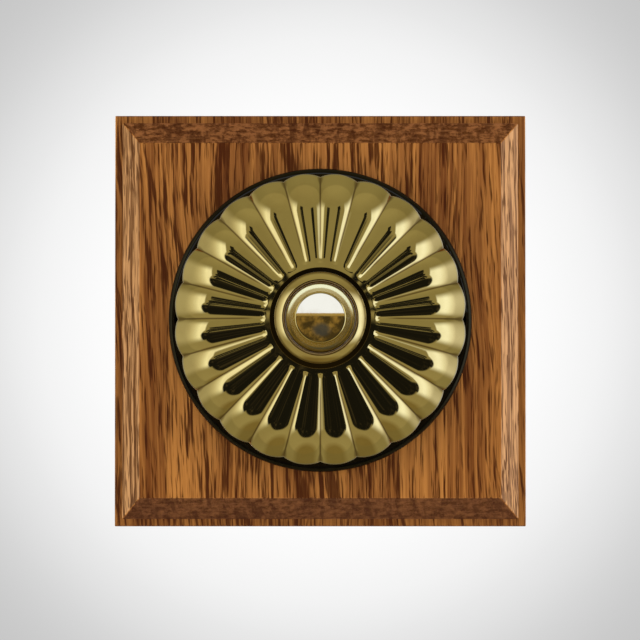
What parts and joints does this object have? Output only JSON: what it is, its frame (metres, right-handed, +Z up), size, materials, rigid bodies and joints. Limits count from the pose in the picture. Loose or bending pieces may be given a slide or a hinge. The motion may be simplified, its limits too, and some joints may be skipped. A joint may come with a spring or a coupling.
{
  "type": "push button light switch",
  "caption": "Wall light switch with a latching brass push button in a fluted brass dome on a bevelled square oak block.",
  "frame": {"origin": "centre of the oak block's back face, on the wall", "axes": "+Y into the wall, -Y out of it towards the user, +Z up the wall, +X to the right seen from the front"},
  "size_m": [0.095, 0.0433, 0.095],
  "materials": {
    "oak": "oiled oak with upright grain",
    "black_moulding": "glossy black moulding",
    "polished_brass": "mirror polished and lacquered",
    "turned_brass": "as turned or pressed",
    "bronze": "rolled phosphor bronze strip",
    "nylon": "natural white nylon",
    "steel": "bright zinc plated"
  },
  "bodies": {
    "switch": {"pattress": "oak", "base_plate": "black_moulding", "base_screws": "steel", "dome_cover": "polished_brass", "bush": "turned_brass", "lock_nut": "turned_brass", "earth_tag": "turned_brass", "bezel": "polished_brass", "return_spring": "steel", "contact_common": "turned_brass", "contact_l1": "turned_brass", "contact_l2": "turned_brass", "terminal_common": "turned_brass", "terminal_l1": "turned_brass", "terminal_l2": "turned_brass", "terminal_earth": "turned_brass", "terminal_screws": "steel", "back_cover": "black_moulding", "cover_screws": "steel"},
    "button": {"button_cap": "polished_brass", "plunger": "nylon", "moving_contact": "bronze"},
    "latch": {"latch_wire": "steel"}
  },
  "joints": [
    {"name": "button_press", "type": "slide", "parent": "switch", "child": "button", "axis": [0, 1, 0], "range_m": [0, 0.004], "stiffness_N_per_m": 400, "springref_m": -0.004, "deforming": ["return_spring"]},
    {"name": "latch_swing", "type": "hinge", "parent": "switch", "child": "latch", "pos_m": [0, -0.01049, 0.01], "axis": [0, 0, 1], "range_deg": [-11, 11]}
  ],
  "couplings": [
    {"joint": "latch_swing", "follows": "button_press", "rad_per_m": -45.247}
  ]
}
